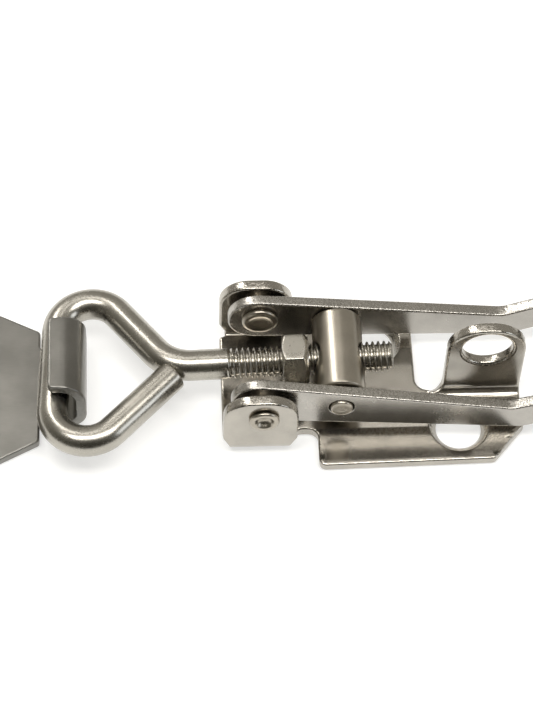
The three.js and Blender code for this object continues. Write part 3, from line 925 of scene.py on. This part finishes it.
def barrel_side(build, radius, shoulder):
    """Adds the barrel's round side with its cross hole, meshed flat and then rolled up."""
    turn = 2 * math.pi * radius
    us = np.linspace(0, turn, BARREL_SIDES + 1)
    vs = np.linspace(-shoulder, shoulder, BARREL_LENGTH_STEPS)
    frame_loop = [(u, -shoulder) for u in us[:-1]] + [(turn, v) for v in vs[:-1]]
    frame_loop += [(u, shoulder) for u in us[:0:-1]] + [(0, v) for v in vs[:0:-1]]
    alpha = np.linspace(0, 2 * math.pi, MOUTH_STEPS, endpoint=False)
    rims, sides = cross_hole(build, radius, alpha)
    loops = [np.array(frame_loop)] + rims
    grid = grid_between(loops, us[1:-1], vs[1:-1], BARREL_GRID_GAP)
    flat = np.concatenate(loops + [grid])
    angle = flat[:, 0] / radius - math.pi / 2
    ids = build.add(np.stack([radius * np.cos(angle), flat[:, 1], radius * np.sin(angle)], -1))
    build.faces += [tuple(ids[i] for i in triangle) for triangle in fill(loops, grid)]
    first = len(frame_loop)
    for rows in sides:
        build.strip(ids[first : first + MOUTH_STEPS], rows[0])
        first += MOUTH_STEPS
    return us[:-1] / radius - math.pi / 2


def trunnion_barrel(material):
    """The barrel, with its cross hole level, where the CAD's hole follows the rod's tilt."""
    radius = (BARREL_HIGH.x - BARREL_LOW.x) / 2
    half = ARM_INNER * splay(BARREL_LOW.x) - ARM_CLEARANCE
    shoulder = half - BARREL_SHOULDER
    tip = BARREL_HIGH.y
    build = Build()
    around = barrel_side(build, radius, shoulder)

    # The ends: chamfer, shoulder, tenon and its roughly sheared tip.
    profile = [
        (radius, shoulder, 0),
        (radius - 0.04, shoulder + 0.2, 0),
        (radius - 0.4, half - 0.06, 0),
        (radius - 0.6, half, 0),
        (TENON + 0.2, half, 0),
        (TENON, half + 0.1, 0),
        (TENON, tip - 0.4, 0),
        (TENON - 0.12, tip - 0.12, 1),
        (TENON - 0.4, tip, 1),
        (TENON * 0.5, tip - 0.12, 1),
    ]
    for side in (-1, 1):
        rows = []
        for r, y, shear in profile:
            level = np.full(BARREL_SIDES, side * y)
            ring = np.stack([r * np.cos(around), level, r * np.sin(around)], -1)
            rows.append(build.add(ring, shear))
        for a, b in zip(rows, rows[1:]):
            build.strip(a, b)
        build.fan(rows[-1], build.add([(0, side * (tip - 0.2), 0)], 1.0)[0])
    build.points = [points + np.array(BARREL_CENTRE) for points in build.points]
    return build.finish(
        "trunnion_barrel_metal", "trunnion_barrel", "barrel", "pin_steel", material, weld=True
    )


def pivot_rivet(side, material):
    """A rivet with a low domed head inside the arm and a dimpled tail outside the ear."""
    node = "pivot_rivet_far" if side > 0 else "pivot_rivet_near"
    low, high = (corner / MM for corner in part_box(node))
    inner = min(abs(low.y), abs(high.y))
    outer = max(abs(low.y), abs(high.y))
    head = (high.x - low.x) / 2
    seat = inner + RIVET_HEAD_THICKNESS
    tail_seat = outer - RIVET_TAIL_HEIGHT
    rough = RIVET_TAIL_SHEAR
    profile = [
        (0.9, inner + 0.34, 0),
        (head * 0.5, inner + 0.3, 0),
        (head * 0.62, inner + 0.12, 0),
        (head * 0.7, inner, 0),
        (head * 0.82, inner + 0.03, 0),
        (head * 0.93, inner + 0.2, 0),
        (head, inner + 0.5, 0),
        (head, seat - 0.2, 0),
        (head - 0.15, seat, 0),
        (RIVET_SHANK, seat, 0),
        (RIVET_SHANK, tail_seat, 0),
        (3.6, tail_seat, rough),
        (3.75, tail_seat + 0.2, rough),
        (3.72, outer - 0.45, rough),
        (3.45, outer - 0.12, rough),
        (3.1, outer, rough),
        (2.6, outer - 0.03, rough),
        (2.32, outer - 0.2, 0),
        (2.1, outer - 0.9, 0),
        (1.5, outer - 1.6, 0),
        (0.8, outer - 1.75, 0),
    ]
    around = np.linspace(0, 2 * math.pi, RIVET_SIDES, endpoint=False)
    rings = []
    for radius, y, shear in profile:
        # The upset tail is never quite round.
        r = radius * (1 + RIVET_WOBBLE * np.sin(3 * around + side) * (shear > 0))
        level = np.full(RIVET_SIDES, side * y)
        ring = np.stack([r * np.cos(around), level, PIVOT_Z + r * np.sin(around)], -1)
        rings.append((ring, shear))
    build = Build()
    build.lathe(rings)
    return build.finish(node + "_metal", node, "base", "pin_steel", material)


# ---- materials ----


class Nodes:
    """Short names for building a material's node tree."""

    def __init__(self, name):
        self.material = bpy.data.materials.new(name)
        self.material.use_nodes = True
        self.tree = self.material.node_tree
        self.shader = self.tree.nodes["Principled BSDF"]

    def node(self, kind, **settings):
        made = self.tree.nodes.new(kind)
        for key, value in settings.items():
            if key.startswith("_"):
                made.inputs[key[1:].replace("_", " ")].default_value = value
            else:
                setattr(made, key, value)
        return made

    def link(self, a, b):
        self.tree.links.new(a, b)

    def noise(self, scale, detail=2.0, stretch=None, roughness=0.5):
        coords = self.node("ShaderNodeTexCoord").outputs["Object"]
        if stretch:
            mapping = self.node("ShaderNodeMapping")
            mapping.inputs["Scale"].default_value = stretch
            self.link(coords, mapping.inputs["Vector"])
            coords = mapping.outputs["Vector"]
        made = self.node(
            "ShaderNodeTexNoise", _Scale=scale / MM, _Detail=detail, _Roughness=roughness
        )
        self.link(coords, made.inputs["Vector"])
        return made.outputs["Fac"]

    def ramp(self, value, *stops):
        made = self.node("ShaderNodeValToRGB")
        elements = made.color_ramp.elements
        while len(elements) < len(stops):
            elements.new(0.5)
        for element, (place, color) in zip(elements, stops):
            element.position = place
            element.color = (*color, 1)
        self.link(value, made.inputs["Fac"])
        return made.outputs["Color"]

    def span(self, value, low, high, from_low=0.0, from_high=1.0):
        made = self.node("ShaderNodeMapRange")
        made.inputs["From Min"].default_value = from_low
        made.inputs["From Max"].default_value = from_high
        made.inputs["To Min"].default_value = low
        made.inputs["To Max"].default_value = high
        self.link(value, made.inputs["Value"])
        return made.outputs["Result"]

    def mix(self, factor, a, b):
        made = self.node("ShaderNodeMix", data_type="FLOAT")
        for value, socket in ((factor, 0), (a, 2), (b, 3)):
            if isinstance(value, (int, float)):
                made.inputs[socket].default_value = value
            else:
                self.link(value, made.inputs[socket])
        return made.outputs[0]

    def bump(self, height, strength, distance, under=None):
        made = self.node("ShaderNodeBump", _Strength=strength, _Distance=distance * MM)
        self.link(height, made.inputs["Height"])
        if under:
            self.link(under, made.inputs["Normal"])
        return made.outputs["Normal"]


def steel(name, tone, rough, wave=0.01, grain=0.0004, scratch=(1.0, 1.0, 1.0), sheared=0.09):
    """Tumbled bright metal: faint mottle, fine grain, long soft waves and rough sheared edges."""
    n = Nodes(name)
    shader = n.shader
    shader.inputs["Metallic"].default_value = 1.0
    mottle = n.noise(0.14, 2.0)
    fine = n.noise(1.4, 3.0, scratch, roughness=0.6)
    dark = tuple(channel * 0.90 for channel in tone)
    pale = tuple(channel * 1.08 for channel in tone)
    color = n.ramp(n.mix(0.25, mottle, fine), (0.35, dark), (0.65, pale))
    n.link(color, shader.inputs["Base Color"])
    shear = n.node("ShaderNodeAttribute", attribute_name="shear").outputs["Fac"]
    gloss = n.span(n.mix(0.3, mottle, fine), rough - 0.02, rough + 0.02, 0.35, 0.65)
    edge_gloss = n.span(n.noise(2.2, 3.0), rough - 0.06, rough + 0.12, 0.3, 0.7)
    n.link(n.mix(shear, gloss, edge_gloss), shader.inputs["Roughness"])
    swell = n.bump(n.noise(0.12, 1.0), 1.0, wave)
    lines = n.bump(n.noise(2.6, 2.0, scratch), 1.0, grain, swell)
    pits = n.noise(1.15, 2.0)
    quiet = n.mix(shear, 0.5, pits)
    n.link(n.bump(quiet, 1.0, sheared, lines), shader.inputs["Normal"])
    return n.material


# ---- stage ----


FLOOR_GAP = 0.0002
WARM_WHITE = (1.0, 0.98, 0.95)
COOL_WHITE = (0.88, 0.93, 1.0)
LIGHT_DISTANCE = 0.9


def floor(size=6.0, cells=12):
    mesh = bpy.data.meshes.new("floor")
    line = np.linspace(-size / 2, size / 2, cells + 1)
    low = cad_box[0][2] - FLOOR_GAP
    verts = [(x, y, low) for y in line for x in line]
    row = cells + 1
    faces = [
        (j * row + i, j * row + i + 1, (j + 1) * row + i + 1, (j + 1) * row + i)
        for j in range(cells)
        for i in range(cells)
    ]
    mesh.from_pydata(verts, [], faces)
    n = Nodes("pale_floor")
    color = n.ramp(n.noise(0.012, 2.0), (0.35, (0.58, 0.58, 0.575)), (0.65, (0.61, 0.61, 0.605)))
    n.link(color, n.shader.inputs["Base Color"])
    n.shader.inputs["Roughness"].default_value = 0.95
    n.shader.inputs["Specular IOR Level"].default_value = 0.1
    n.shader.inputs["Emission Color"].default_value = (1.0, 1.0, 0.99, 1.0)
    n.shader.inputs["Emission Strength"].default_value = 0.56
    mesh.materials.append(n.material)
    made = bpy.data.objects.new("floor", mesh)
    bpy.context.scene.collection.objects.link(made)


def softbox(name, direction, size, power, color, target=(0.0, 0.0, 0.01)):
    data = bpy.data.lights.new(name, "AREA")
    data.shape = "RECTANGLE"
    data.size, data.size_y = size
    data.energy = power
    data.color = color
    lamp = bpy.data.objects.new(name, data)
    way = Vector(direction).normalized()
    lamp.location = Vector(target) + way * LIGHT_DISTANCE
    lamp.rotation_euler = way.to_track_quat("Z", "Y").to_euler()
    bpy.context.scene.collection.objects.link(lamp)


def world():
    """A dim warm room, darker in front of the latch than behind it."""
    made = bpy.data.worlds.new("room")
    bpy.context.scene.world = made
    made.use_nodes = True
    tree = made.node_tree
    coords = tree.nodes.new("ShaderNodeTexCoord")
    split = tree.nodes.new("ShaderNodeSeparateXYZ")
    tree.links.new(coords.outputs["Generated"], split.inputs[0])
    reach = tree.nodes.new("ShaderNodeMapRange")
    reach.inputs["From Min"].default_value = -1.0
    reach.inputs["From Max"].default_value = 1.0
    tree.links.new(split.outputs["Y"], reach.inputs["Value"])
    ramp = tree.nodes.new("ShaderNodeValToRGB")
    stops = ((0.10, (0.05, 0.047, 0.035)), (0.45, (0.20, 0.19, 0.16)), (0.8, (0.42, 0.40, 0.36)))
    ramp.color_ramp.elements.new(0.5)
    for element, (place, color) in zip(ramp.color_ramp.elements, stops):
        element.position = place
        element.color = (*color, 1)
    tree.links.new(reach.outputs["Result"], ramp.inputs["Fac"])
    background = tree.nodes["Background"]
    tree.links.new(ramp.outputs["Color"], background.inputs["Color"])
    background.inputs["Strength"].default_value = 1.0


CAMERA_ELEVATION = math.radians(56.76)
CAMERA_AZIMUTH = math.radians(-4.35)
CAMERA_ROLL = math.radians(2.45)
CAMERA_DISTANCE = 0.6323
CAMERA_LENS = 126.0
CAMERA_TARGET = Vector((0.00164, 0.00464, 0.008))


def camera():
    data = bpy.data.cameras.new("camera")
    data.lens = CAMERA_LENS
    data.sensor_width = 36.0
    made = bpy.data.objects.new("camera", data)
    c = math.cos(CAMERA_ELEVATION)
    back = Vector(
        (math.sin(CAMERA_AZIMUTH) * c, -math.cos(CAMERA_AZIMUTH) * c, math.sin(CAMERA_ELEVATION))
    )
    made.location = CAMERA_TARGET + back * CAMERA_DISTANCE
    level = (-back).to_track_quat("-Z", "Y").to_matrix().to_4x4()
    roll = Matrix.Rotation(CAMERA_ROLL, 4, "Z")
    made.matrix_world = Matrix.Translation(made.location) @ level @ roll
    bpy.context.scene.collection.objects.link(made)
    bpy.context.scene.camera = made


# ---- the latch ----

plate_metal = steel("plate_metal", (0.44, 0.415, 0.37), 0.20)
lever_metal = steel("lever_metal", (0.45, 0.43, 0.395), 0.26)
rod_metal = steel("rod_metal", (0.43, 0.41, 0.365), 0.27, wave=0.012)
pin_metal = steel("pin_metal", (0.43, 0.395, 0.335), 0.31, wave=0.004)
# The keeper's darker tone is painted shade: it is the same steel as the other pieces, darkened to
# stand for the darker reflection on its plate.
keeper_shaded_metal = steel(
    "keeper_shaded_metal", (0.24, 0.234, 0.216), 0.31, grain=0.0001, scratch=(0.4, 2.0, 1.0)
)

base_plate(plate_metal)
lever(lever_metal)
keeper_plate(keeper_shaded_metal)
hook_bolt(rod_metal)
lock_nut(rod_metal)
trunnion_barrel(pin_metal)
pivot_rivet(-1, pin_metal)
pivot_rivet(1, pin_metal)

floor()
softbox("overhead", (0.0, -0.17, 0.98), (0.9, 0.26), 6.4, WARM_WHITE)
softbox("back_high", (-0.15, 0.36, 0.92), (0.7, 0.09), 0.5, WARM_WHITE)
softbox("back_left", (-0.40, 0.55, 0.73), (0.10, 0.4), 1.6, WARM_WHITE)
softbox("window", (0.86, -0.30, 0.42), (0.35, 0.35), 1.0, COOL_WHITE)
world()
camera()
bpy.context.scene.view_settings.view_transform = "Standard"
